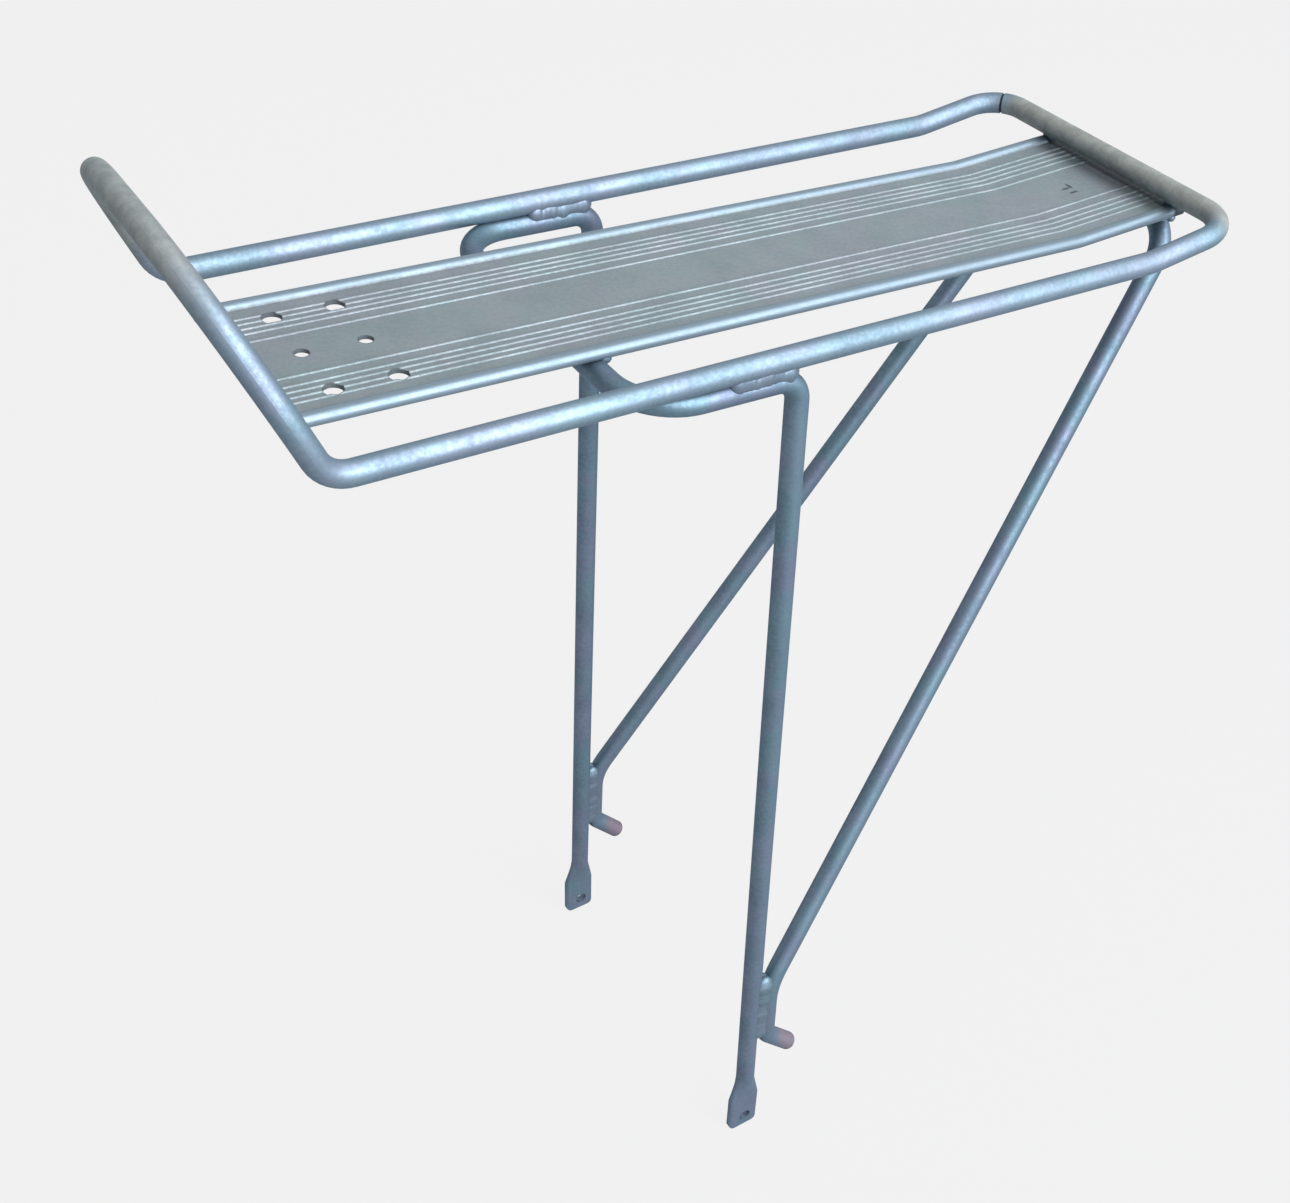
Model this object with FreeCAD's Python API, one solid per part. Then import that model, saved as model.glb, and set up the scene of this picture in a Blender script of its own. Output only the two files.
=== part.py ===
import FreeCAD, Part
import math
import os

from FreeCAD import Vector

os.makedirs("parts", exist_ok=True)

# Frame: the origin is midway between the two foot holes. +X points to the back
# of the bicycle, +Y to the rider's right, +Z up. All lengths are millimetres.

# Stock
rod_diameter = 8.0
seat_gap = 0.05             # rods lie this close before they are welded

# Top loop: one closed rod that makes both side rails, the stop hoop and the rear bar
rail_spread = 128.0         # between the centrelines of the side rails
rail_height = 388.3
hoop_foot_x = -177.5        # where a rail would meet the leaning hoop with no bend
hoop_rise = 56.0
hoop_lean = 64.5            # degrees from the ground
hoop_foot_radius = 12.0
hoop_corner_radius = 53.0   # the hoop is almost an arch
kick_x = 130.0              # where the rails turn up towards the rear bar
kick_radius = 40.0
rear_bar_x = 169.2
rear_bar_rise = 6.4
rear_corner_radius = 14.0
seam_gap = 1.0
seam_turn = 55.0            # degrees round the right rear corner, from the rail to the joint

# Deck plate: a ribbed extrusion, creased so that its tail follows the rails up
plate_nose_x = -178.0
plate_nose_top = 389.0
plate_slope = 0.87          # degrees down towards the rear
crease_x = 124.6
crease_turn = 4.97          # degrees up
crease_radius = 30.0
plate_tail_x = 174.6
plate_half_width = 37.0
web_thickness = 1.3
bead_width = 5.2
bead_height = 4.2
bead_above_web = 1.7
single_rib_y = 11.8
first_rib_y = 16.7
rib_pitch = 3.05
ribs_per_group = 4
rib_half_width = 0.6
rib_height = 0.45

# Hole pattern in the nose of the plate
pattern_x = -147.4
pattern_pitch_x = 20.7
pattern_pitch_y = 46.2
corner_hole = 6.4
centre_hole = 4.8

# Leg frame: one rod, foot to foot, under the plate
foot_y = 73.2
leg_top_x = -20.0
leg_top_y = 63.5
leg_top_radius = 9.0
yoke_x = -76.5              # the run that crosses under the plate
yoke_radius = 20.0
foot_width = 14.8
foot_ahead = 0.6            # from the foot hole to the middle of the pad, forward
foot_thickness = 3.6
foot_below_hole = 6.2
foot_flat_top = 13.0
foot_neck_top = 27.0
foot_corner = 3.4
foot_hole = 5.5

# Stay frame: one rod, hook to hook, under the tail of the plate
stay_top_x = 174.2
stay_top_y = 34.5
stay_top_radius = 18.0
stay_outboard = 1.2         # the stay's foot stands this much outside the leg
stay_elbow_z = 85.0         # above this the stay leaves the leg
stay_elbow_radius = 30.0
hook_bend_z = 53.0
hook_bend_radius = 7.0
hook_reach = 14.0
hook_drop = 14.2
hook_tip_round = 0.8

# Weld beads
stay_weld_diameter = 7.5
rail_weld_diameter = 7.7
tack_diameter = 4.4
tack_length = 2.0
tack_beside_rod = 3.2       # from a cross rod's centre to the bead laid along its side
tack_inboard = 1.5          # from the middle of the plate's edge bead
rear_tack_behind = 1.8      # from the rear bar's centre
rail_weld_x = (-44.0, -26.0)
stay_weld_z = (57.5, 87.0)
seam_weld_diameter = 7.2

rod_radius = rod_diameter / 2
rail_y = rail_spread / 2
rod_pitch = rod_diameter + seat_gap
slope = math.radians(plate_slope)
tail_slope = math.radians(crease_turn - plate_slope)
bead_below_face = bead_height - bead_above_web
bead_y = plate_half_width - bead_width / 2


def mirrored(point):
    return Vector(point.x, -point.y, point.z)


def both_sides(points):
    # A left-hand run of corners, then the same corners on the right in reverse.
    return points + [mirrored(point) for point in reversed(points)]


def bent_path(corners, radii):
    edges = []
    start = corners[0]
    for before, corner, after, radius in zip(corners, corners[1:], corners[2:], radii):
        back = (before - corner).normalize()
        ahead = (after - corner).normalize()
        half_angle = back.getAngle(ahead) / 2
        reach = radius / math.tan(half_angle)
        inward = (back + ahead).normalize()
        arc_start = corner + back * reach
        arc_middle = corner + inward * (radius / math.sin(half_angle) - radius)
        arc_end = corner + ahead * reach
        edges.append(Part.LineSegment(start, arc_start).toShape())
        edges.append(Part.Arc(arc_start, arc_middle, arc_end).toShape())
        start = arc_end
    edges.append(Part.LineSegment(start, corners[-1]).toShape())
    return Part.Wire(edges)


def bent_rod(corners, radii):
    path = bent_path(corners, radii)
    heading = corners[1] - corners[0]
    ring = Part.Wire(Part.makeCircle(rod_radius, corners[0], heading))
    return path.makePipeShell([ring], True, False)


def straight_rod(start, end, diameter=rod_diameter):
    return Part.makeCylinder(diameter / 2, (end - start).Length, start, end - start)


def plate_top(x):
    # Height of the plate's face at x, over the sloping run and the raised tail.
    if x <= crease_x:
        return plate_nose_top - (x - plate_nose_x) * math.tan(slope)
    crease_top = plate_nose_top - (crease_x - plate_nose_x) * math.tan(slope)
    return crease_top + (x - crease_x) * math.tan(tail_slope)


def under_plate(x):
    # Centre height of a cross rod that the plate's two edge beads rest on at x.
    return plate_top(x) - bead_below_face - rod_radius - seat_gap


# Top loop

def loop_corners():
    hoop_top_x = hoop_foot_x - hoop_rise / math.tan(math.radians(hoop_lean))
    left = [
        Vector(rear_bar_x, -rail_y, rail_height + rear_bar_rise),
        Vector(kick_x, -rail_y, rail_height),
        Vector(hoop_foot_x, -rail_y, rail_height),
        Vector(hoop_top_x, -rail_y, rail_height + hoop_rise),
    ]
    return both_sides(left)


def seam_point():
    # The loop's two ends meet in the bend of the right-hand rear corner.
    kick, corner = loop_corners()[-2:]
    along_rail = (corner - kick).normalize()
    along_bar = Vector(0, -1, 0)
    bend_centre = corner + (along_bar - along_rail) * rear_corner_radius
    turn = math.radians(seam_turn)
    outward = along_rail * math.sin(turn) - along_bar * math.cos(turn)
    heading = along_rail * math.cos(turn) + along_bar * math.sin(turn)
    return bend_centre + outward * rear_corner_radius, heading


def seam_disc(diameter):
    seam, heading = seam_point()
    half = heading * (seam_gap / 2)
    return straight_rod(seam - half, seam + half, diameter)


def top_loop():
    bar_middle = Vector(rear_bar_x, 0, rail_height + rear_bar_rise)
    half = [rear_corner_radius, kick_radius, hoop_foot_radius, hoop_corner_radius]
    corners = [bar_middle] + loop_corners() + [bar_middle]
    loop = bent_rod(corners, half + half[::-1])
    return loop.cut(seam_disc(rod_diameter * 2))


# Deck plate

def bead_outline():
    # A stadium: the thick round edge of the extrusion, on the left side.
    radius = bead_height / 2
    middle_z = bead_above_web - radius
    outer = -plate_half_width + radius
    inner = -plate_half_width + bead_width - radius
    top = middle_z + radius
    bottom = middle_z - radius
    outer_end = Part.Arc(
        Vector(0, outer, top), Vector(0, outer - radius, middle_z), Vector(0, outer, bottom))
    inner_end = Part.Arc(
        Vector(0, inner, bottom), Vector(0, inner + radius, middle_z), Vector(0, inner, top))
    return Part.Wire([
        outer_end.toShape(),
        Part.LineSegment(Vector(0, outer, bottom), Vector(0, inner, bottom)).toShape(),
        inner_end.toShape(),
        Part.LineSegment(Vector(0, inner, top), Vector(0, outer, top)).toShape(),
    ])


def rib_places():
    ribs = [single_rib_y] + [first_rib_y + rib_pitch * i for i in range(ribs_per_group)]
    return sorted([-y for y in ribs] + ribs)


def web_outline():
    edge = plate_half_width - bead_width + bead_height / 2
    edges = []
    start = Vector(0, -edge, 0)
    for y in rib_places():
        foot = Vector(0, y - rib_half_width, 0)
        crest = Vector(0, y, rib_height)
        end = Vector(0, y + rib_half_width, 0)
        edges.append(Part.LineSegment(start, foot).toShape())
        edges.append(Part.Arc(foot, crest, end).toShape())
        start = end
    corners = [
        start, Vector(0, edge, 0), Vector(0, edge, -web_thickness),
        Vector(0, -edge, -web_thickness), Vector(0, -edge, 0)]
    for a, b in zip(corners, corners[1:]):
        edges.append(Part.LineSegment(a, b).toShape())
    return Part.Wire(edges)


def creased(section):
    # One profile carried along the plate: the sloping run, the crease, the raised tail.
    section.rotate(Vector(0, 0, 0), Vector(0, 1, 0), plate_slope)
    section.translate(Vector(plate_nose_x, 0, plate_nose_top))
    reach = crease_radius * math.tan(math.radians(crease_turn) / 2)
    main_run = Vector(math.cos(slope), 0, -math.sin(slope)) * (
        (crease_x - plate_nose_x) / math.cos(slope) - reach)
    main = section.extrude(main_run)
    section.translate(main_run)
    face_point = Vector(plate_nose_x, 0, plate_nose_top) + main_run
    lift = Vector(math.sin(slope), 0, math.cos(slope))
    crease_centre = face_point + lift * crease_radius
    crease = section.revolve(crease_centre, Vector(0, -1, 0), crease_turn)
    section.rotate(crease_centre, Vector(0, -1, 0), crease_turn)
    tail_run = Vector(math.cos(tail_slope), 0, math.sin(tail_slope)) * (
        (plate_tail_x - crease_x) / math.cos(tail_slope) - reach)
    return main.fuse([crease, section.extrude(tail_run)])


def plate_blank():
    left_bead = creased(Part.Face(bead_outline()))
    right_bead = left_bead.mirror(Vector(0, 0, 0), Vector(0, 1, 0))
    web = creased(Part.Face(web_outline()))
    return web.fuse([left_bead, right_bead]).removeSplitter()


def plate_holes():
    reach = 10.0
    places = []
    for x in (pattern_x - pattern_pitch_x / 2, pattern_x + pattern_pitch_x / 2):
        for y, bore in ((-pattern_pitch_y / 2, corner_hole), (0, centre_hole),
                        (pattern_pitch_y / 2, corner_hole)):
            places.append((x, y, bore))
    drills = []
    for x, y, bore in places:
        foot = Vector(x, y, plate_top(x) - reach / 2)
        drills.append(Part.makeCylinder(bore / 2, reach, foot))
    return drills


def deck_plate():
    return plate_blank().cut(plate_holes())


# Leg frame

def arm_height():
    # The arms lie against the underside of the rails, a little inboard.
    inboard = rail_y - leg_top_y
    return rail_height - math.sqrt(rod_pitch ** 2 - inboard ** 2)


def leg_point(z):
    # Centre of the left leg at height z, measured from the foot hole.
    share = z / arm_height()
    return Vector(leg_top_x * share, -foot_y + (foot_y - leg_top_y) * share, z)


def leg_lean():
    return math.atan2(-leg_top_x, arm_height())


def foot_section(z, width, thickness):
    # A stadium across the leg, flats facing sideways, at height z.
    radius = thickness / 2
    straight = width / 2 - radius
    a = Vector(-straight, -radius, z)
    b = Vector(straight, -radius, z)
    c = Vector(straight, radius, z)
    d = Vector(-straight, radius, z)
    return Part.Wire([
        Part.LineSegment(a, b).toShape(),
        Part.Arc(b, Vector(straight + radius, 0, z), c).toShape(),
        Part.LineSegment(c, d).toShape(),
        Part.Arc(d, Vector(-straight - radius, 0, z), a).toShape(),
    ])


def foot_outline():
    # Side view of the flattened end, square cut with rounded corners.
    half = foot_width / 2
    low = -foot_below_hole
    r = foot_corner
    bend = r * (1 - math.sqrt(0.5))
    points = [
        Vector(-half, 0, foot_flat_top), Vector(-half, 0, low + r), Vector(-half + r, 0, low),
        Vector(half - r, 0, low), Vector(half, 0, low + r), Vector(half, 0, foot_flat_top)]
    edges = [
        Part.LineSegment(points[0], points[1]).toShape(),
        Part.Arc(points[1], Vector(-half + bend, 0, low + bend), points[2]).toShape(),
        Part.LineSegment(points[2], points[3]).toShape(),
        Part.Arc(points[3], Vector(half - bend, 0, low + bend), points[4]).toShape(),
        Part.LineSegment(points[4], points[5]).toShape(),
        Part.LineSegment(points[5], points[0]).toShape(),
    ]
    outline = Part.Face(Part.Wire(edges))
    outline.translate(Vector(0, -foot_thickness, 0))
    return outline.extrude(Vector(0, 2 * foot_thickness, 0))


def left_foot():
    # The rod's end pressed flat: round neck, then a pad with round edges and a hole.
    pad_wire = foot_section(-foot_below_hole, foot_width, foot_thickness)
    pad = Part.Face(pad_wire).extrude(Vector(0, 0, foot_below_hole + foot_flat_top))
    pad = pad.common(foot_outline())
    pad.translate(Vector(-foot_ahead, 0, 0))
    pad.rotate(Vector(0, 0, 0), Vector(0, 1, 0), -math.degrees(leg_lean()))
    pad.translate(Vector(0, -foot_y, 0))
    neck_low = foot_section(foot_flat_top, foot_width, foot_thickness)
    neck_low.translate(Vector(-foot_ahead, 0, 0))
    neck_low.rotate(Vector(0, 0, 0), Vector(0, 1, 0), -math.degrees(leg_lean()))
    neck_low.translate(Vector(0, -foot_y, 0))
    heading = leg_point(1) - leg_point(0)
    neck_high = Part.Wire(Part.makeCircle(rod_radius, leg_point(foot_neck_top), heading))
    neck = Part.makeLoft([neck_low, neck_high], True, False)
    hole = Part.makeCylinder(
        foot_hole / 2, 4 * foot_thickness, Vector(0, -foot_y - 2 * foot_thickness, 0), Vector(0, 1, 0))
    return pad.fuse(neck).cut(hole)


def leg_frame():
    arm_z = arm_height()
    yoke_z = under_plate(yoke_x)
    left = [
        leg_point(foot_neck_top), Vector(leg_top_x, -leg_top_y, arm_z),
        Vector(yoke_x, -leg_top_y, yoke_z)]
    radii = [leg_top_radius, yoke_radius, yoke_radius, leg_top_radius]
    rod = bent_rod(both_sides(left), radii)
    foot = left_foot()
    other_foot = foot.mirror(Vector(0, 0, 0), Vector(0, 1, 0))
    return rod.fuse([foot, other_foot]).removeSplitter()


# Stay frame

def stay_foot_point(z):
    # Centre of the stay where it runs down behind the leg.
    behind = math.sqrt(rod_pitch ** 2 - stay_outboard ** 2) / math.cos(leg_lean())
    return leg_point(z) + Vector(behind, -stay_outboard, 0)


def stay_corners():
    bend = stay_foot_point(hook_bend_z)
    return both_sides([
        bend + Vector(hook_reach, 0, -hook_drop),
        bend,
        stay_foot_point(stay_elbow_z),
        Vector(stay_top_x, -stay_top_y, under_plate(stay_top_x)),
    ])


def stay_frame():
    half = [hook_bend_radius, stay_elbow_radius, stay_top_radius]
    rod = bent_rod(stay_corners(), half + half[::-1])
    tips = [face for face in rod.Faces if isinstance(face.Surface, Part.Plane)]
    return rod.makeFillet(hook_tip_round, [edge for tip in tips for edge in tip.Edges])


# Weld beads: a round-ended run of metal, less whatever it is laid against

def bead_run(start, end, diameter):
    radius = diameter / 2
    run = straight_rod(start, end, diameter)
    return run.fuse([Part.makeSphere(radius, start), Part.makeSphere(radius, end)]).removeSplitter()


def laid_against(bead, *neighbours):
    for neighbour in neighbours:
        bead = bead.cut(neighbour)
    return max(bead.Solids, key=lambda solid: solid.Volume)


def between(a, b):
    return (a + b) * 0.5


def rail_weld(loop, legs):
    # Along the groove where the left arm of the leg frame lies under the left rail.
    groove = []
    for x in rail_weld_x:
        share = (x - leg_top_x) / (yoke_x - leg_top_x)
        arm = Vector(x, -leg_top_y,
                     arm_height() + (under_plate(yoke_x) - arm_height()) * share)
        groove.append(between(arm, Vector(x, -rail_y, rail_height)))
    return laid_against(bead_run(groove[0], groove[1], rail_weld_diameter), loop, legs)


def stay_weld(legs, stays):
    # Along the groove where the left stay runs down behind the left leg.
    low, high = [between(leg_point(z), stay_foot_point(z)) for z in stay_weld_z]
    return laid_against(bead_run(low, high, stay_weld_diameter), legs, stays)


def tack(x, z, *neighbours):
    # A short bead across the underside or the top of the plate's left edge bead.
    centre = Vector(x, tack_inboard - bead_y, z)
    half = Vector(0, tack_length / 2, 0)
    return laid_against(bead_run(centre - half, centre + half, tack_diameter), *neighbours)


def plate_tack(x, plate, rod):
    return tack(x, plate_top(x) - bead_below_face, plate, rod)


def rear_tack(loop, plate):
    # Fills the gap between the rear bar and the plate's edge bead that runs under it.
    x = rear_bar_x + rear_tack_behind
    under_bar = rail_height + rear_bar_rise - rod_radius
    bead_top = plate_top(x) + bead_above_web
    return tack(x, (under_bar + bead_top) / 2, loop, plate)


def seam_weld():
    # Fills the butt joint of the loop, a little below the surface of the rod.
    return seam_disc(seam_weld_diameter)


def export(name, shape):
    shape.exportStep("parts/" + name + ".step")
    box = shape.BoundBox
    print("%-24s %8.1f mm3  x %.1f..%.1f  y %.1f..%.1f  z %.1f..%.1f  valid %s  solids %d" % (
        name, shape.Volume, box.XMin, box.XMax, box.YMin, box.YMax, box.ZMin, box.ZMax,
        shape.isValid(), len(shape.Solids)))


def export_pair(name, left):
    export(name + "_left", left)
    export(name + "_right", left.mirror(Vector(0, 0, 0), Vector(0, 1, 0)))


loop = top_loop()
plate = deck_plate()
legs = leg_frame()
stays = stay_frame()

export("top_loop", loop)
export("deck_plate", plate)
export("leg_frame", legs)
export("stay_frame", stays)
export("loop_seam_weld", seam_weld())
export_pair("rail_weld", rail_weld(loop, legs))
export_pair("stay_weld", stay_weld(legs, stays))
export_pair("middle_plate_weld", plate_tack(yoke_x + tack_beside_rod, plate, legs))
export_pair("rear_plate_weld", plate_tack(stay_top_x - tack_beside_rod, plate, stays))
export_pair("rear_bar_weld", rear_tack(loop, plate))
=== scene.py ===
import math
import random

import bpy
from mathutils import Matrix, Vector


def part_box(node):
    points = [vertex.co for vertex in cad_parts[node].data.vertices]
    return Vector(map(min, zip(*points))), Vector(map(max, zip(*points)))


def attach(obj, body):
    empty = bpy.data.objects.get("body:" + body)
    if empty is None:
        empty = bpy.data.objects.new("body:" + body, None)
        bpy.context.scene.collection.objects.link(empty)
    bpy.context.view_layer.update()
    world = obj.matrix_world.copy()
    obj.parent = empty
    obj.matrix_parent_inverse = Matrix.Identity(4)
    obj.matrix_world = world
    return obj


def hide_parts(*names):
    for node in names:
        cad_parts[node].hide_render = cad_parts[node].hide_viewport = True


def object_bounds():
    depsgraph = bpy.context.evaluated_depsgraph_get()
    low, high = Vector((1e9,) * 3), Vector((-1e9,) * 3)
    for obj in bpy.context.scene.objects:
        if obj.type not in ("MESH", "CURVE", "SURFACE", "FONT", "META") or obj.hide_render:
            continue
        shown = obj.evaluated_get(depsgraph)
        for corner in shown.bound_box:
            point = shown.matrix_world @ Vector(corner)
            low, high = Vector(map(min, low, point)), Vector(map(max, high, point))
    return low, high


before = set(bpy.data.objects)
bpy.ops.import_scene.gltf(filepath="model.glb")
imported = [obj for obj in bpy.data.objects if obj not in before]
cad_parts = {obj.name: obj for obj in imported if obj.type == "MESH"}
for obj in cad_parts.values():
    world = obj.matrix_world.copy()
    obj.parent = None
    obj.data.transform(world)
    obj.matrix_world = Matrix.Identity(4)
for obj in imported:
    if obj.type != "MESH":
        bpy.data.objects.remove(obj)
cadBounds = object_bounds()
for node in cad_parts.values():
    node.select_set(False)
print("frame loaded:", len(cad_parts), "nodes")

body = "root"
rackLow, rackHigh = cadBounds


# Camera and room

camera = {
    "place": (-0.32188, -0.42482, 0.65040),
    "turn": (52.083, -3.959, -31.741),  # degrees
    "lens": 48.035,
    "sensor": 36.0,
    "clip": (0.02, 60.0),
}
cameraData = bpy.data.cameras.new("camera")
cameraData.lens = camera["lens"]
cameraData.sensor_width = camera["sensor"]
cameraData.clip_start, cameraData.clip_end = camera["clip"]
cameraObject = bpy.data.objects.new("camera", cameraData)
cameraObject.location = camera["place"]
cameraObject.rotation_euler = [math.radians(angle) for angle in camera["turn"]]
bpy.context.collection.objects.link(cameraObject)
bpy.context.scene.camera = cameraObject
bpy.context.scene.view_settings.view_transform = "Standard"

room = {
    "floorSize": 24.0,
    "floorDrop": 0.0005,    # the feet stand this far above the floor
    "paper": (0.885, 0.885, 0.885, 1.0),
    "paperShow": 0.96,    # the rest of the floor's look carries the shadow
    "overhead": (1.25, 1.15, 0.95, 1.0),
    "level": (0.05, 0.08, 0.11, 1.0),    # at the horizon
    "floorGrey": (0.30, 0.32, 0.34, 1.0),
}


def makeMaterial(name):
    material = bpy.data.materials.new(name)
    material.use_nodes = True
    nodes = material.node_tree.nodes
    nodes.clear()
    return material, nodes, material.node_tree.links


def seenRays(nodes, links):
    # 1 for rays from the camera, and for what metal and clear pieces show of the room.
    rays = nodes.new("ShaderNodeLightPath")
    total = rays.outputs["Is Camera Ray"]
    for label in ("Is Glossy Ray", "Is Transmission Ray"):
        add = nodes.new("ShaderNodeMath")
        add.operation = "MAXIMUM"
        links.new(total, add.inputs[0])
        links.new(rays.outputs[label], add.inputs[1])
        total = add.outputs[0]
    return total


def paperMaterial():
    material, nodes, links = makeMaterial("palePaper")
    out = nodes.new("ShaderNodeOutputMaterial")
    paper = nodes.new("ShaderNodeBsdfDiffuse")
    paper.inputs["Color"].default_value = room["floorGrey"]
    glow = nodes.new("ShaderNodeEmission")
    glow.inputs["Color"].default_value = room["paper"]
    share = nodes.new("ShaderNodeMath")
    share.operation = "MULTIPLY"
    share.inputs[1].default_value = room["paperShow"]
    mix = nodes.new("ShaderNodeMixShader")
    links.new(seenRays(nodes, links), share.inputs[0])
    links.new(share.outputs[0], mix.inputs["Fac"])
    links.new(paper.outputs[0], mix.inputs[1])
    links.new(glow.outputs[0], mix.inputs[2])
    links.new(mix.outputs[0], out.inputs["Surface"])
    return material


def makeFloor():
    bpy.ops.object.select_all(action="DESELECT")
    middle = (rackLow + rackHigh) / 2
    bpy.ops.mesh.primitive_plane_add(
        size=room["floorSize"],
        location=(middle.x, middle.y, rackLow.z - room["floorDrop"]))
    floor = bpy.context.object
    floor.name = "floor"
    floor.data.materials.append(paperMaterial())


def makeWorld():
    world = bpy.data.worlds.new("room")
    bpy.context.scene.world = world
    world.use_nodes = True
    nodes, links = world.node_tree.nodes, world.node_tree.links
    nodes.clear()
    out = nodes.new("ShaderNodeOutputWorld")
    air = nodes.new("ShaderNodeBackground")
    parts = nodes.new("ShaderNodeSeparateXYZ")
    links.new(nodes.new("ShaderNodeTexCoord").outputs["Generated"], parts.inputs[0])
    sky = nodes.new("ShaderNodeMix")
    sky.data_type = "RGBA"
    sky.clamp_factor = True
    sky.inputs[6].default_value = room["level"]
    sky.inputs[7].default_value = room["overhead"]
    links.new(parts.outputs["Z"], sky.inputs[0])
    links.new(sky.outputs[2], air.inputs["Color"])
    seen = nodes.new("ShaderNodeBackground")
    seen.inputs["Color"].default_value = room["paper"]
    mix = nodes.new("ShaderNodeMixShader")
    links.new(seenRays(nodes, links), mix.inputs["Fac"])
    links.new(air.outputs[0], mix.inputs[1])
    links.new(seen.outputs[0], mix.inputs[2])
    links.new(mix.outputs[0], out.inputs["Surface"])


lamps = {
    "low": {"from": (0.20, -0.89, 0.42), "reach": 2.2, "size": (2.4, 1.3), "power": 110.0,
            "colour": (1.0, 0.99, 0.98)},
    "high": {"from": (0.25, -0.42, 0.87), "reach": 2.2, "size": (2.0, 1.3), "power": 72.0,
             "colour": (1.0, 0.99, 0.98)},
}
lampAim = 0.75    # the lamps point at this share of the rack's height


def makeLamps():
    middle = (rackLow + rackHigh) / 2
    middle.z = rackHigh.z * lampAim
    for name, lamp in lamps.items():
        data = bpy.data.lights.new(name, "AREA")
        data.shape = "RECTANGLE"
        data.size, data.size_y = lamp["size"]
        data.energy = lamp["power"]
        data.color = lamp["colour"]
        holder = bpy.data.objects.new(name, data)
        direction = Vector(lamp["from"]).normalized()
        holder.location = middle + direction * lamp["reach"]
        holder.rotation_euler = direction.to_track_quat("Z", "Y").to_euler()
        bpy.context.collection.objects.link(holder)


makeFloor()
makeWorld()
makeLamps()
print("room ready")


# Shared effects

def makeGroup(name, inputs, outputs):
    group = bpy.data.node_groups.new(name, "ShaderNodeTree")
    for label, kind, value in inputs:
        socket = group.interface.new_socket(name=label, in_out="INPUT", socket_type=kind)
        socket.default_value = value
    for label, kind in outputs:
        group.interface.new_socket(name=label, in_out="OUTPUT", socket_type=kind)
    enter = group.nodes.new("NodeGroupInput")
    leave = group.nodes.new("NodeGroupOutput")
    return group, enter, leave


def mathNode(tree, operation, first, second=None, clamp=False):
    node = tree.nodes.new("ShaderNodeMath")
    node.operation = operation
    node.use_clamp = clamp
    for socket, value in zip(node.inputs, (first, second)):
        if value is None:
            continue
        if hasattr(value, "is_output"):
            tree.links.new(value, socket)
        else:
            socket.default_value = value
    return node.outputs[0]


def mixColour(tree, factor, first, second, blend="MIX"):
    node = tree.nodes.new("ShaderNodeMix")
    node.data_type = "RGBA"
    node.blend_type = blend
    colourInputs = ((node.inputs[0], factor), (node.inputs[6], first), (node.inputs[7], second))
    for socket, value in colourInputs:
        if hasattr(value, "is_output"):
            tree.links.new(value, socket)
        else:
            socket.default_value = value
    return node.outputs[2]


def noise(tree, where, scale, detail=3.0, roughness=0.55):
    node = tree.nodes.new("ShaderNodeTexNoise")
    node.inputs["Scale"].default_value = scale
    node.inputs["Detail"].default_value = detail
    node.inputs["Roughness"].default_value = roughness
    tree.links.new(where, node.inputs["Vector"])
    return node.outputs["Fac"]


def spread(tree, value, low, high, toLow=0.0, toHigh=1.0):
    node = tree.nodes.new("ShaderNodeMapRange")
    node.interpolation_type = "SMOOTHSTEP"
    tree.links.new(value, node.inputs["Value"])
    node.inputs["From Min"].default_value = low
    node.inputs["From Max"].default_value = high
    node.inputs["To Min"].default_value = toLow
    node.inputs["To Max"].default_value = toHigh
    return node.outputs["Result"]


coatLook = {    # noises as scale, detail and roughness, then where they start and end
    "flake": (1900.0, 2.0), "peel": (420.0, 2.0),
    "speck": (620.0, 3.0, 0.7), "speckRange": (0.34, 0.66),
    "cloud": (60.0, 4.0), "cloudRange": (0.32, 0.68),
    "drift": (48.0, 3.0), "driftRange": (0.36, 0.64),
    "share": {"flake": 0.30, "speck": 0.32, "cloud": 0.38},    # of the dark tone
    "teal": (0.82, 1.07, 1.00, 1), "lilac": (1.13, 0.94, 1.06, 1),
    "cloudRough": 0.08, "speckRough": 0.10, "flakeHeight": 0.40,
}


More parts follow.
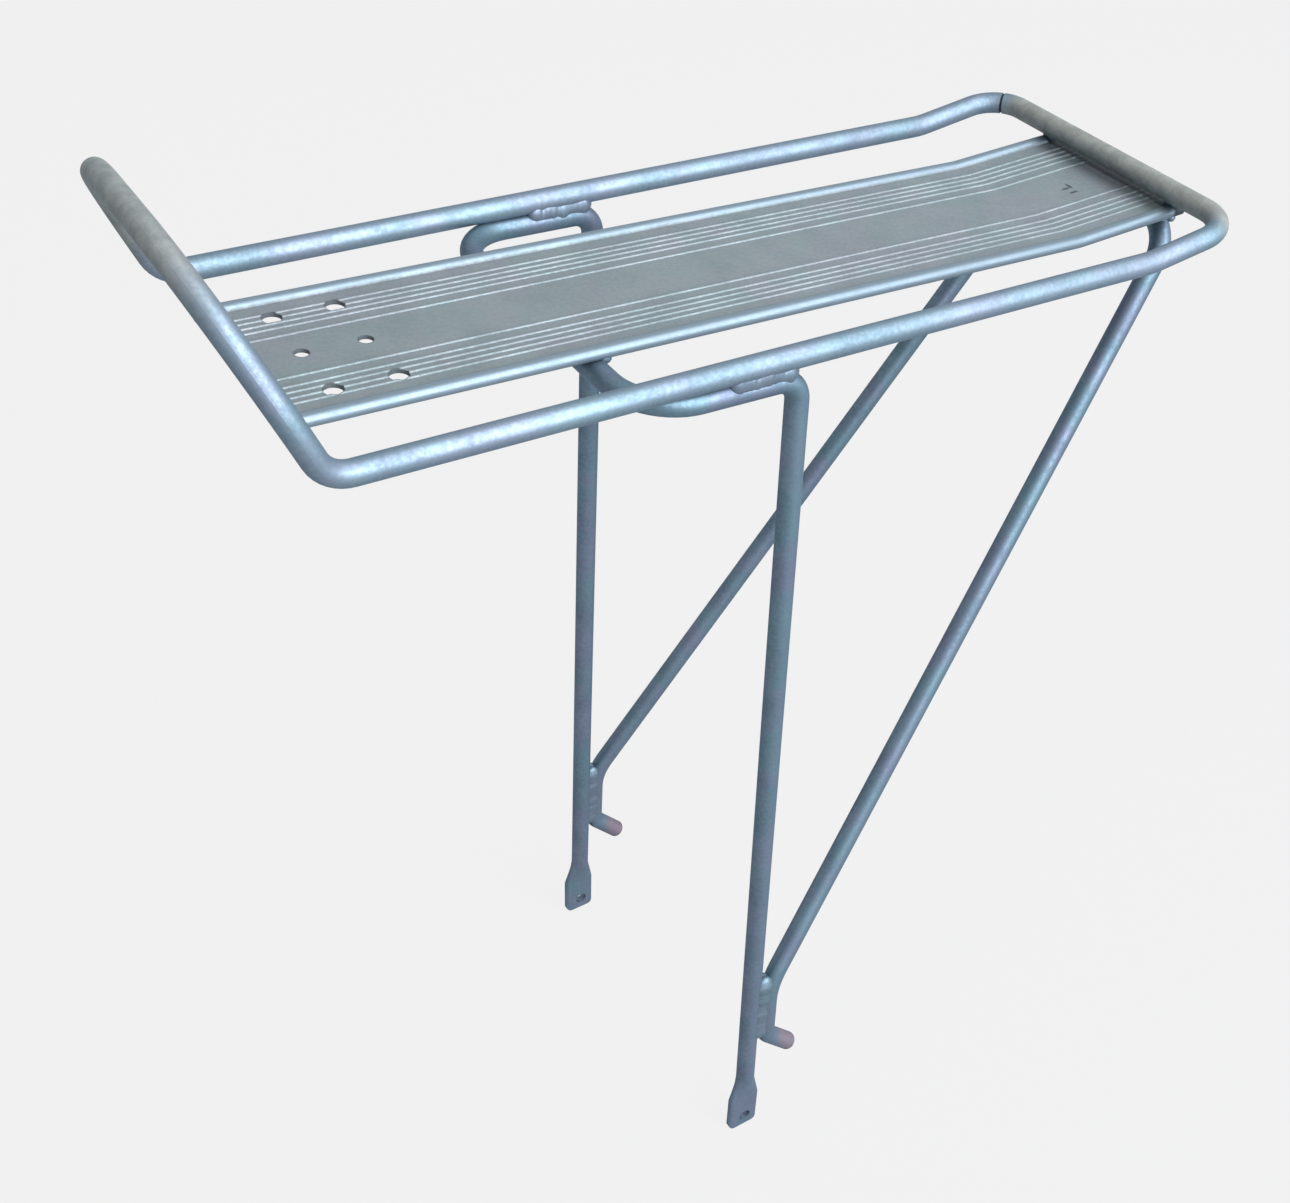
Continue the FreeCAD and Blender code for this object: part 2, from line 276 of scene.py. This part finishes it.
def makeCoatGroup():
    # Sprayed silver: fine flake, cloudy tone that drifts between teal and lilac, and orange peel.
    group, enter, leave = makeGroup(
        "silverCoat",
        [("Vector", "NodeSocketVector", (0, 0, 0)),
         ("Light", "NodeSocketColor", (0.17, 0.22, 0.26, 1)),
         ("Dark", "NodeSocketColor", (0.11, 0.15, 0.18, 1)),
         ("Gloss", "NodeSocketFloat", 0.45),
         ("Drift", "NodeSocketFloat", 0.30)],
        [("Colour", "NodeSocketColor"),
         ("Roughness", "NodeSocketFloat"),
         ("Height", "NodeSocketFloat")])
    where = enter.outputs["Vector"]
    share = coatLook["share"]
    flake = noise(group, where, *coatLook["flake"])
    speck = spread(group, noise(group, where, *coatLook["speck"]), *coatLook["speckRange"])
    cloud = spread(group, noise(group, where, *coatLook["cloud"]), *coatLook["cloudRange"])
    peel = noise(group, where, *coatLook["peel"])
    fine = mathNode(group, "MULTIPLY", flake, share["flake"])
    middle = mathNode(group, "MULTIPLY", speck, share["speck"])
    broad = mathNode(group, "MULTIPLY", cloud, share["cloud"])
    blend = mathNode(group, "ADD", mathNode(group, "ADD", fine, middle), broad, clamp=True)
    tone = mixColour(group, blend, enter.outputs["Light"], enter.outputs["Dark"])
    warmth = spread(group, noise(group, where, *coatLook["drift"]), *coatLook["driftRange"])
    tint = mixColour(group, warmth, coatLook["teal"], coatLook["lilac"])
    tinted = mixColour(group, 1.0, tone, tint, "MULTIPLY")
    drifted = mixColour(group, enter.outputs["Drift"], tone, tinted)
    group.links.new(drifted, leave.inputs["Colour"])
    dull = mathNode(group, "MULTIPLY", cloud, coatLook["cloudRough"])
    grain = mathNode(group, "MULTIPLY", speck, coatLook["speckRough"])
    rough = mathNode(group, "ADD", mathNode(group, "ADD", enter.outputs["Gloss"], dull), grain)
    group.links.new(rough, leave.inputs["Roughness"])
    height = mathNode(
        group, "ADD", mathNode(group, "MULTIPLY", flake, coatLook["flakeHeight"]), peel)
    group.links.new(height, leave.inputs["Height"])
    return group


coatGroup = makeCoatGroup()


def coatNodes(nodes, links, finish):
    # Object coordinates through the shared coat, ready for a material's own extras.
    where = nodes.new("ShaderNodeTexCoord").outputs["Object"]
    coat = nodes.new("ShaderNodeGroup")
    coat.node_tree = coatGroup
    links.new(where, coat.inputs["Vector"])
    coat.inputs["Light"].default_value = finish["light"]
    coat.inputs["Dark"].default_value = finish["dark"]
    coat.inputs["Gloss"].default_value = finish["gloss"]
    coat.inputs["Drift"].default_value = finish["drift"]
    parts = nodes.new("ShaderNodeSeparateXYZ")
    links.new(where, parts.inputs[0])
    return where, parts, coat.outputs


metal = {"specular": 0.25, "bumpDepth": 0.0002}


def metalShader(nodes, links, finish, colour, roughness, height):
    out = nodes.new("ShaderNodeOutputMaterial")
    shader = nodes.new("ShaderNodeBsdfPrincipled")
    shader.inputs["Metallic"].default_value = finish["metallic"]
    shader.inputs["Specular IOR Level"].default_value = metal["specular"]
    shader.inputs["Specular Tint"].default_value = finish["edge"]
    bump = nodes.new("ShaderNodeBump")
    bump.inputs["Strength"].default_value = finish["bump"]
    bump.inputs["Distance"].default_value = metal["bumpDepth"]
    links.new(height, bump.inputs["Height"])
    links.new(bump.outputs[0], shader.inputs["Normal"])
    links.new(colour, shader.inputs["Base Color"])
    links.new(roughness, shader.inputs["Roughness"])
    links.new(shader.outputs[0], out.inputs["Surface"])


rodFinish = {
    "light": (0.142, 0.194, 0.254, 1), "dark": (0.088, 0.124, 0.172, 1),
    "gloss": 0.45, "drift": 0.60, "metallic": 0.84,
    "edge": (0.55, 0.62, 0.68, 1), "bump": 0.16,
    "bare": (0.225, 0.150, 0.185, 1),    # the hook tips, worn to a pinkish metal
    "tipFrom": (0.0060, 0.0150), "tipBelow": (0.050, 0.054),
    "scuffs": (420.0, 4.0, 0.7), "scuffRange": (0.30, 0.62, 0.35, 1.0),
    "tipTint": 0.75, "tipRough": 0.12,
}


def rodMaterial():
    material, nodes, links = makeMaterial("silverRod")
    tree = material.node_tree
    where, parts, coat = coatNodes(nodes, links, rodFinish)
    behind = spread(tree, parts.outputs["X"], *rodFinish["tipFrom"])
    below = spread(tree, parts.outputs["Z"], *rodFinish["tipBelow"], 1.0, 0.0)
    scuffs = spread(tree, noise(tree, where, *rodFinish["scuffs"]), *rodFinish["scuffRange"])
    tip = mathNode(tree, "MULTIPLY", mathNode(tree, "MULTIPLY", behind, below), scuffs)
    tint = mathNode(tree, "MULTIPLY", tip, rodFinish["tipTint"])
    colour = mixColour(tree, tint, coat["Colour"], rodFinish["bare"])
    dull = mathNode(tree, "MULTIPLY", tip, rodFinish["tipRough"])
    rough = mathNode(tree, "ADD", coat["Roughness"], dull)
    metalShader(nodes, links, rodFinish, colour, rough, coat["Height"])
    return material


loopFinish = {
    "light": (0.166, 0.222, 0.282, 1), "dark": (0.104, 0.147, 0.194, 1),
    "gloss": 0.46, "drift": 0.35, "metallic": 0.80,
    "edge": (0.55, 0.62, 0.68, 1), "bump": 0.16,
    "dull": (0.248, 0.264, 0.256, 1),    # painted light: the grey-olive look of the rear bar and the hoop's top, which catch no highlight
    "dullDark": (0.188, 0.204, 0.198, 1),
    "barFrom": (0.158, 0.167), "barEnd": (0.050, 0.057),
    "hoopFrom": (-0.190, -0.180), "hoopSide": (-0.056, -0.026),
    "patches": (210.0, 5.0, 0.7), "patchRange": (0.36, 0.64),
    "hoopPaintedLight": 0.85, "paintedLightTint": 0.92, "paintedLightRough": 0.14,
}


def loopMaterial():
    material, nodes, links = makeMaterial("silverLoop")
    tree = material.node_tree
    where, parts, coat = coatNodes(nodes, links, loopFinish)
    # painted light: masks for the rear bar and the hoop's top, where the grey-olive look is
    # painted
    bar = mathNode(tree, "MULTIPLY", spread(tree, parts.outputs["X"], *loopFinish["barFrom"]),
                   spread(tree, parts.outputs["Y"], *loopFinish["barEnd"], 1.0, 0.0))
    hoopEnd = spread(tree, parts.outputs["X"], *loopFinish["hoopFrom"], 1.0, 0.0)
    hoopSide = spread(tree, parts.outputs["Y"], *loopFinish["hoopSide"])
    hoop = mathNode(tree, "MULTIPLY", hoopEnd, hoopSide)
    patches = spread(tree, noise(tree, where, *loopFinish["patches"]), *loopFinish["patchRange"])
    grey = mixColour(tree, patches, loopFinish["dull"], loopFinish["dullDark"])
    # painted light: the grey-olive tone laid over the coat there, with a rougher gloss
    paintedLightMask = mathNode(
        tree, "MAXIMUM", bar, mathNode(tree, "MULTIPLY", hoop, loopFinish["hoopPaintedLight"]))
    tint = mathNode(tree, "MULTIPLY", paintedLightMask, loopFinish["paintedLightTint"])
    colour = mixColour(tree, tint, coat["Colour"], grey)
    dull = mathNode(tree, "MULTIPLY", paintedLightMask, loopFinish["paintedLightRough"])
    rough = mathNode(tree, "ADD", coat["Roughness"], dull)
    metalShader(nodes, links, loopFinish, colour, rough, coat["Height"])
    return material


plateFinish = {
    "light": (0.184, 0.218, 0.242, 1), "dark": (0.126, 0.153, 0.174, 1),
    "gloss": 0.56, "drift": 0.22, "metallic": 0.68,
    "edge": (0.55, 0.62, 0.68, 1), "bump": 0.12,
    "bead": (0.146, 0.200, 0.252, 1),    # painted light: the edge beads tinted blue, the tone their walls take from the bluish side light
    "beadFrom": 0.0318, "beadBlend": 0.0006, "beadTint": 0.9, "beadPolish": 0.14,
    "paintedShadeAndScratch": (0.020, 0.022, 0.026, 1),    # painted shadow in the corner under the rear bar, painted shade round the holes, and the dark of the real scratches
    "rimPaintedShade": 0.5, "tailShadowAndScratch": 0.85, "shadeAndScratchRough": 0.25,
    # painted shadow: where the dark band under the rear bar starts and ends
    "cornerFrom": (0.1684, 0.1704),
    "patternX": -0.1474, "halfPitch": (0.01035, 0.0231),
    # radii of the painted shade rings round the holes
    "cornerRim": (0.0032, 0.0036), "centreRim": (0.0024, 0.0029),
    "marks": ((0.1483, -0.0016, 0.0024, 0.0008), (0.1508, -0.0006, 0.0009, 0.0026),
              (0.1492, -0.0052, 0.0026, 0.0007)),    # scratches: x, y, half length, half width
    "ragged": (900.0, 3.0, 0.7), "scratchRange": (0.7, 1.5, 0.95, 0.0),
}


def ringMask(tree, acrossX, acrossY, rim):
    # 1 inside the rim's inner radius, 0 beyond its outer one.
    square = mathNode(tree, "ADD", mathNode(tree, "MULTIPLY", acrossX, acrossX),
                      mathNode(tree, "MULTIPLY", acrossY, acrossY))
    return spread(tree, mathNode(tree, "SQRT", square), rim[0], rim[1], 1.0, 0.0)


def plateMaterial():
    material, nodes, links = makeMaterial("silverPlate")
    tree = material.node_tree
    where, parts, coat = coatNodes(nodes, links, plateFinish)
    x, y = parts.outputs["X"], parts.outputs["Y"]
    side = mathNode(tree, "ABSOLUTE", y)
    beadFrom = plateFinish["beadFrom"]
    # painted light: the blue side-light tone laid on the edge beads
    edge = spread(tree, side, beadFrom, beadFrom + plateFinish["beadBlend"])
    tint = mathNode(tree, "MULTIPLY", edge, plateFinish["beadTint"])
    silver = mixColour(tree, tint, coat["Colour"], plateFinish["bead"])

    along = mathNode(tree, "ABSOLUTE", mathNode(tree, "SUBTRACT", x, plateFinish["patternX"]))
    alongHole = mathNode(tree, "SUBTRACT", along, plateFinish["halfPitch"][0])
    acrossHole = mathNode(tree, "SUBTRACT", side, plateFinish["halfPitch"][1])
    # painted shade: dark rings round the holes stand in for the shade of their walls
    rims = mathNode(tree, "MAXIMUM",
                    ringMask(tree, alongHole, acrossHole, plateFinish["cornerRim"]),
                    ringMask(tree, alongHole, y, plateFinish["centreRim"]))
    # painted shadow: the plate darkens into the corner under the rear bar; the real scratches
    # join it below
    marks = spread(tree, x, *plateFinish["cornerFrom"])
    ragged = noise(tree, where, *plateFinish["ragged"])
    for markX, markY, halfX, halfY in plateFinish["marks"]:
        nearX = mathNode(tree, "DIVIDE", mathNode(tree, "SUBTRACT", x, markX), halfX)
        nearY = mathNode(tree, "DIVIDE", mathNode(tree, "SUBTRACT", y, markY), halfY)
        reach = mathNode(tree, "ADD", mathNode(tree, "MULTIPLY", nearX, nearX),
                         mathNode(tree, "MULTIPLY", nearY, nearY))
        scratch = spread(
            tree, mathNode(tree, "ADD", reach, ragged), *plateFinish["scratchRange"])
        marks = mathNode(tree, "MAXIMUM", marks, scratch)
    # painted shade and shadow, with the real scratches, darken the coat and roughen it
    paintedShadeAndScratches = mathNode(tree, "MAXIMUM",
                    mathNode(tree, "MULTIPLY", rims, plateFinish["rimPaintedShade"]),
                    mathNode(tree, "MULTIPLY", marks, plateFinish["tailShadowAndScratch"]))
    colour = mixColour(tree, paintedShadeAndScratches, silver, plateFinish["paintedShadeAndScratch"])
    dull = mathNode(tree, "MULTIPLY", paintedShadeAndScratches, plateFinish["shadeAndScratchRough"])
    rough = mathNode(tree, "ADD", coat["Roughness"], dull)
    polish = mathNode(tree, "MULTIPLY", edge, plateFinish["beadPolish"])
    rough = mathNode(tree, "SUBTRACT", rough, polish)
    metalShader(nodes, links, plateFinish, colour, rough, coat["Height"])
    return material


weldFinish = {
    "light": (0.140, 0.188, 0.238, 1), "dark": (0.088, 0.122, 0.164, 1),
    "gloss": 0.44, "drift": 0.35, "metallic": 0.80,
    "edge": (0.55, 0.62, 0.68, 1), "bump": 0.20,
}
seamFinish = {
    "light": (0.050, 0.062, 0.072, 1), "dark": (0.022, 0.028, 0.034, 1),
    "gloss": 0.62, "drift": 0.20, "metallic": 0.60,
    "edge": (0.30, 0.34, 0.38, 1), "bump": 0.30,
}


def plainMaterial(name, finish):
    # The coat alone, with nothing laid over it.
    material, nodes, links = makeMaterial(name)
    coat = coatNodes(nodes, links, finish)[2]
    metalShader(nodes, links, finish, coat["Colour"], coat["Roughness"], coat["Height"])
    return material


materials = {"rod": rodMaterial(), "loop": loopMaterial(), "plate": plateMaterial(),
             "weld": plainMaterial("coatedWeld", weldFinish),
             "seam": plainMaterial("seamGroove", seamFinish)}
nodeMaterials = {"top_loop": "loop", "deck_plate": "plate", "loop_seam_weld": "seam"}


def dress(nodeName, material):
    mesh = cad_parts[nodeName].data
    mesh.materials.clear()
    mesh.materials.append(material)


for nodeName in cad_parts:
    usual = "weld" if "weld" in nodeName else "rod"
    dress(nodeName, materials[nodeMaterials.get(nodeName, usual)])
print("nodes dressed")


# Weld beads: overlapping ripples of metal run into one lumpy bead

beads = {
    "rail_weld": {"side": (0, 1, 0), "apart": 0.0011, "pitch": 0.0021, "along": 0.0034,
                  "across": 0.0028, "tall": 0.0040, "over": 0.0006},
    "stay_weld": {"side": (0, 1, 0), "apart": 0.0011, "pitch": 0.0023, "along": 0.0046,
                  "across": 0.0029, "tall": 0.0046, "over": 0.0002},
    "middle_plate_weld": {"side": (1, 0, 0), "apart": 0.0, "pitch": 0.0016, "along": 0.0015,
                          "across": 0.0021, "tall": 0.0017, "over": 0.0002},
    "rear_plate_weld": {"side": (1, 0, 0), "apart": 0.0, "pitch": 0.0016, "along": 0.0014,
                        "across": 0.0017, "tall": 0.0015, "over": 0.0001},
    "rear_bar_weld": {"side": (1, 0, 0), "apart": 0.0, "pitch": 0.0016, "along": 0.0015,
                      "across": 0.0021, "tall": 0.0019, "over": 0.0002},
    "tail": {"side": (1, 0, 0), "apart": 0.0, "pitch": 0.0021, "along": 0.0026,
             "across": 0.0029, "tall": 0.0015, "over": 0.0001, "from": 0.0060,
             "to": 0.0215, "lift": 0.0006, "rodRadius": 0.0040},
    "kinds": ("rail_weld", "stay_weld", "middle_plate_weld", "rear_plate_weld",
              "rear_bar_weld"),    # in the order they are laid
    "drop": {"segments": 20, "rings": 12, "leadFrom": 0.35, "lead": (1.12, 0.90, 0.92)},
    "uneven": 0.09,      # spread of the drops' sizes
    "stagger": 0.06,     # and of their distance from the middle line
    "endShare": 0.25,    # share of a weld node's length that gives the middle of an end
    "voxel": 0.00034,
    "settle": 8,
    "settleFactor": 0.5,
    "seed": 11,
}


def makeRipple():
    # One drop of weld metal, a unit across, its leading edge drawn out and its top a little flat.
    bpy.ops.object.select_all(action="DESELECT")
    shape = beads["drop"]
    bpy.ops.mesh.primitive_uv_sphere_add(
        segments=shape["segments"], ring_count=shape["rings"], radius=1.0, location=(0, 0, 0))
    drop = bpy.context.object
    bpy.ops.object.mode_set(mode="EDIT")
    bpy.ops.mesh.select_mode(type="VERT")
    bpy.ops.mesh.select_all(action="DESELECT")
    bpy.ops.object.mode_set(mode="OBJECT")
    for vertex in drop.data.vertices:
        vertex.select = vertex.co.x > shape["leadFrom"]
    bpy.ops.object.mode_set(mode="EDIT")
    bpy.ops.transform.resize(value=shape["lead"], center_override=(0, 0, 0))
    bpy.ops.mesh.select_all(action="DESELECT")
    bpy.ops.object.mode_set(mode="OBJECT")
    return drop


def runEnds(node):
    # Middle of each end of a weld node, along its longest side.
    points = [vertex.co.copy() for vertex in node.data.vertices]
    low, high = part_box(node.name)
    sides = [high[i] - low[i] for i in range(3)]
    axis = sides.index(max(sides))
    reach = sides[axis] * beads["endShare"]
    nearLow = [p for p in points if p[axis] < low[axis] + reach]
    nearHigh = [p for p in points if p[axis] > high[axis] - reach]
    start = sum(nearLow, Vector()) / len(nearLow)
    end = sum(nearHigh, Vector()) / len(nearHigh)
    start[axis], end[axis] = low[axis], high[axis]
    return start, end


def layBead(drop, name, start, end, bead, chance):
    heading = (end - start).normalized()
    side = Vector(bead["side"])
    side = (side - heading * side.dot(heading)).normalized()
    up = heading.cross(side)
    length = (end - start).length - 2 * bead["along"]
    count = max(2, round(length / bead["pitch"]) + 1)
    rows = (-bead["apart"], bead["apart"]) if bead["apart"] else (0.0,)
    drops = []
    for row in rows:
        for i in range(count):
            ripple = drop.copy()
            ripple.data = drop.data.copy()
            bpy.context.collection.objects.link(ripple)
            place = start + heading * (bead["along"] + length * i / (count - 1))
            place += side * (row * (1 + beads["stagger"] * chance.uniform(-1, 1)))
            place += up * (bead["over"] * chance.uniform(-1, 1))
            grow = 1 + beads["uneven"] * chance.uniform(-1, 1)
            columns = (heading * bead["along"] * grow,
                       side * bead["across"] * grow,
                       up * bead["tall"] * grow)
            shape = Matrix.Identity(4)
            for j, column in enumerate(columns):
                for k in range(3):
                    shape[k][j] = column[k]
            shape.translation = place
            ripple.matrix_world = shape
            drops.append(ripple)
    bpy.ops.object.select_all(action="DESELECT")
    for ripple in drops:
        ripple.select_set(True)
    piece = drops[0]
    bpy.context.view_layer.objects.active = piece
    bpy.ops.object.join()
    bpy.ops.object.transform_apply(location=True, rotation=True, scale=True)
    piece.name = name
    bpy.ops.object.mode_set(mode="EDIT")
    bpy.ops.mesh.select_all(action="SELECT")
    bpy.ops.mesh.normals_make_consistent(inside=False)
    bpy.ops.mesh.select_all(action="DESELECT")
    bpy.ops.object.mode_set(mode="OBJECT")
    fuse = piece.modifiers.new("fuse", "REMESH")
    fuse.mode = "VOXEL"
    fuse.voxel_size = beads["voxel"]
    settle = piece.modifiers.new("settle", "SMOOTH")
    settle.factor = beads["settleFactor"]
    settle.iterations = beads["settle"]
    for modifier in ("fuse", "settle"):
        bpy.ops.object.modifier_apply(modifier=modifier)
    bpy.ops.object.shade_smooth()
    piece.data.materials.clear()
    piece.data.materials.append(materials["weld"])
    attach(piece, body)
    return piece


def makeBeads():
    drop = makeRipple()
    for kind in beads["kinds"]:
        for hand, shift in (("left", 0), ("right", 1)):
            nodeName = kind + "_" + hand
            start, end = runEnds(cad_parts[nodeName])
            chance = random.Random(beads["seed"] + shift)
            name = nodeName.replace("_weld", "_bead")
            piece = layBead(drop, name, start, end, beads[kind], chance)
            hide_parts(nodeName)
    layTailBeads(drop)
    bpy.data.objects.remove(drop, do_unlink=True)


def layTailBeads(drop):
    # Two runs that close the slit between the stays' cross run and the tail of the plate.
    low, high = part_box("stay_frame")
    tail = beads["tail"]
    across, height = high.x - tail["rodRadius"], high.z + tail["lift"]
    for hand, side in (("left", -1), ("right", 1)):
        start = Vector((across, side * tail["from"], height))
        end = Vector((across, side * tail["to"], height))
        chance = random.Random(beads["seed"] + side)
        layBead(drop, "tail_bead_" + hand, start, end, tail, chance)


makeBeads()
print("beads laid")
